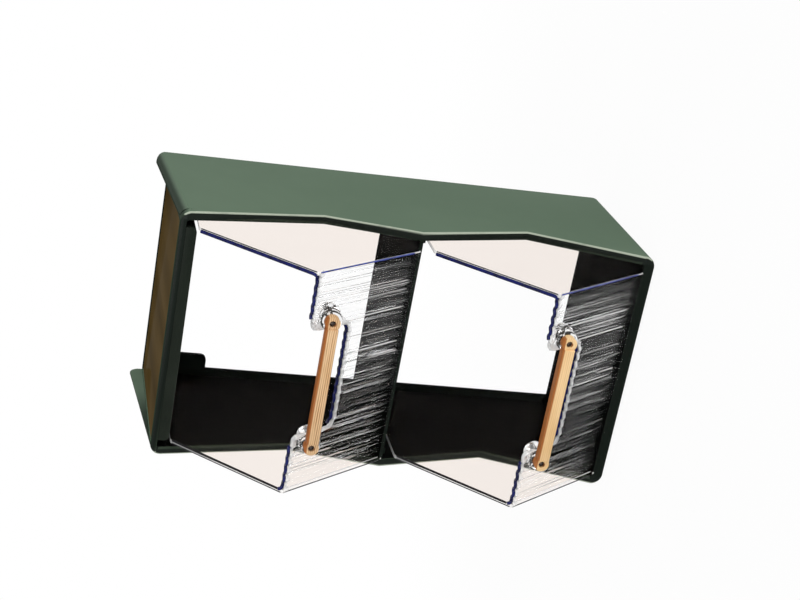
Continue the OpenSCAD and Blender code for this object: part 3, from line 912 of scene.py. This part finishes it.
def screwTree():
    tree, flow, given = newTree("crossScrew", ["Head Radius", "Head Height", "Shank Radius", "Shank Length",
                                               "Slot Length", "Slot Width", "Slot Depth"])
    h = handleScrew
    ball = flow.add("GeometryNodeMeshUVSphere", None,
                    {"Segments": h["headSides"], "Rings": h["headRings"], "Radius": 1.0})
    size = vector(flow, X=given.out("Head Radius"), Y=given.out("Head Radius"), Z=given.out("Head Height"))
    head = flow.add("GeometryNodeTransform", None, {"Geometry": ball, "Scale": size})
    cut = flow.add("GeometryNodeMeshBoolean", {"operation": "DIFFERENCE", "solver": "EXACT"}, {"Mesh 1": head})
    for turn in (0.0, math.pi / 2):
        box = vector(flow, X=given.out("Slot Length"), Y=given.out("Slot Width"), Z=given.out("Slot Depth") * 2)
        cube = flow.add("GeometryNodeMeshCube", None, {"Size": box})
        lift = vector(flow, Z=given.out("Head Height"))
        slot = flow.add("GeometryNodeTransform", None,
                        {"Geometry": cube, "Translation": lift, "Rotation": (0, 0, turn)})
        flow.tree.links.new(slot.socket, cut.socket.node.inputs["Mesh 2"])
    shank = flow.add("GeometryNodeMeshCylinder", None,
                     {"Vertices": h["shankSides"], "Radius": given.out("Shank Radius"),
                      "Depth": given.out("Shank Length")})
    drop = vector(flow, Z=given.out("Shank Length") * -0.5)
    shank = flow.add("GeometryNodeTransform", None, {"Geometry": shank, "Translation": drop})
    whole = flow.add("GeometryNodeJoinGeometry", None, {"Geometry": cut})
    flow.tree.links.new(shank.socket, whole.socket.node.inputs["Geometry"])
    spread = flow.add("GeometryNodeInstanceOnPoints", None,
                      {"Points": given, "Instance": whole, "Rotation": (math.pi / 2, 0, 0)})
    closeTree(flow, spread, finishes["steel"])
    return tree


def makeScrews():
    h = handleScrew
    mesh = bpy.data.meshes.new("screwSpots")
    mesh.from_pydata([(side * cd["lugSpan"] / 2, -h["seat"], handleZ) for side in (-1, 1)], [], [])
    piece = newPiece("screwForm", mesh)
    grow(piece, screwTree(), {
        "Head Radius": h["headRadius"], "Head Height": h["headHeight"], "Shank Radius": h["shankRadius"],
        "Shank Length": h["seat"] - h["tail"], "Slot Length": h["slotLength"], "Slot Width": h["slotWidth"],
        "Slot Depth": h["slotDepth"]})
    return smooth(settle(piece), h["smoothAngle"])


def putInBay(form, tier, name, nodes):
    low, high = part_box(tier + "_drawer")
    mesh = form.data.copy()
    mesh.transform(Matrix.Translation((0, high.y - cd["depth"], low.z)))
    piece = newPiece(tier + "_" + name, mesh)
    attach(piece, tier + "_drawer_unit")
    if nodes:
        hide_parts(*nodes)


drawerForm = makeDrawer()
print("drawer form:", len(drawerForm.data.polygons), "faces")
lineForms = makeLines()
screwForm = makeScrews()
for tier in ("upper", "lower"):
    putInBay(drawerForm, tier, "clear_drawer", [tier + "_drawer"])
    for lineTone, form in lineForms.items():
        putInBay(form, tier, lineTone + "_lines", [])
    putInBay(screwForm, tier, "screws", [tier + "_left_screw", tier + "_right_screw"])
    for side in ("left", "right"):
        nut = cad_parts[f"{tier}_{side}_nut"]
        nut.data.materials.clear()
        nut.data.materials.append(finishes["steel"])
for form in (drawerForm, *lineForms.values(), screwForm):
    bpy.data.objects.remove(form)
print("drawers placed")


# Floor, world and lamps
studio = dict(floorSize=40.0, floorTone=(0.86, 0.86, 0.86), fleckTone=(0.9, 0.9, 0.9),
              white=0.95, near=0.20, far=0.60, fill=0.30)


def seenRays(flow):  # 1 for what the camera sees, also in a mirror or through clear plastic
    ray = flow.add("ShaderNodeLightPath")
    straight = flow.math("MAXIMUM", ray.out("Is Camera Ray"), ray.out("Is Glossy Ray"))
    return flow.math("MAXIMUM", straight, ray.out("Is Transmission Ray"))


def makeStudio():
    mesh = bpy.data.meshes.new("floor")
    s = studio["floorSize"]
    mesh.from_pydata([(-s, -s, 0), (s, -s, 0), (s, s, 0), (-s, s, 0)], [], [(0, 1, 2, 3)])
    floor = newPiece("floor", mesh)
    material, flow = newFinish("floorPaper")
    fleck = noise(flow, place(flow), 60.0, 3.0)
    seen = seenRays(flow)
    away = flow.add("ShaderNodeVectorMath", {"operation": "LENGTH"}, {0: place(flow)}, 1)
    whiten = away.step(studio["near"], studio["far"]) * (1 - studio["white"]) + studio["white"]
    tone = flow.blend(fleck, studio["floorTone"], studio["fleckTone"])
    paper = flow.add("ShaderNodeBsdfDiffuse", None, {"Color": tone})
    glow = flow.add("ShaderNodeEmission", None, {"Color": (1, 1, 1, 1), "Strength": 1.0})
    mixed = flow.add("ShaderNodeMixShader", None, {0: seen * whiten, 1: paper, 2: glow})
    flow.add("ShaderNodeOutputMaterial", None, {"Surface": mixed})
    mesh.materials.append(material)

    world = bpy.data.worlds.new("studio")
    bpy.context.scene.world = world
    world.use_nodes = True
    world.node_tree.nodes.clear()
    flow = Flow(world.node_tree)
    seen = seenRays(flow)
    level = seen * (1 - studio["fill"]) + studio["fill"]
    sky = flow.add("ShaderNodeBackground", None, {"Color": (1, 1, 1, 1), "Strength": level})
    flow.add("ShaderNodeOutputWorld", None, {"Surface": sky})


lampAim = (0.0, 0.0, 0.15)
lamps = [
    dict(name="keyRight", spot=(2.0, -0.9, 0.75), size=1.2, power=29.5),
    dict(name="frontSoft", spot=(-0.35, -1.4, 0.9), size=1.0, power=9.0),
    dict(name="leftSoft", spot=(-1.3, 0.4, 0.9), size=1.0, power=5.0),
    dict(name="backSoft", spot=(0.2, 1.4, 1.0), size=1.0, power=6.0),
]


def makeLamps():
    for lamp in lamps:
        light = bpy.data.lights.new(lamp["name"], "AREA")
        light.energy = lamp["power"]
        light.size = lamp["size"]
        holder = bpy.data.objects.new(lamp["name"], light)
        bpy.context.scene.collection.objects.link(holder)
        holder.location = lamp["spot"]
        beam = Vector(lampAim) - Vector(lamp["spot"])
        holder.rotation_euler = beam.to_track_quat("-Z", "Y").to_euler()


# The photograph is turned by a quarter, so the camera is rolled: up in the picture is the object's right
viewpoint = dict(
    spot=(0.381355, -0.889914, 0.393355),
    right=(0.160849, -0.160267, -0.973880),
    up=(0.919502, 0.382912, 0.088854),
    lens=70.953, sensor=36.0, shiftX=0.0727, shiftY=-0.0153, nearest=0.01,
)


def makeCamera():
    camera = bpy.data.objects.new("camera", bpy.data.cameras.new("camera"))
    bpy.context.scene.collection.objects.link(camera)
    right, up = Vector(viewpoint["right"]).normalized(), Vector(viewpoint["up"])
    back = right.cross(up).normalized()
    up = back.cross(right)
    camera.rotation_mode = "QUATERNION"
    camera.rotation_quaternion = Matrix((right, up, back)).transposed().to_quaternion()
    camera.location = viewpoint["spot"]
    camera.data.sensor_fit = "HORIZONTAL"
    camera.data.sensor_width = viewpoint["sensor"]
    camera.data.lens = viewpoint["lens"]
    camera.data.shift_x = viewpoint["shiftX"]
    camera.data.shift_y = viewpoint["shiftY"]
    camera.data.clip_start = viewpoint["nearest"]
    bpy.context.scene.camera = camera


makeStudio()
makeLamps()
makeCamera()
bpy.context.scene.view_settings.view_transform = "Standard"
print("studio ready")
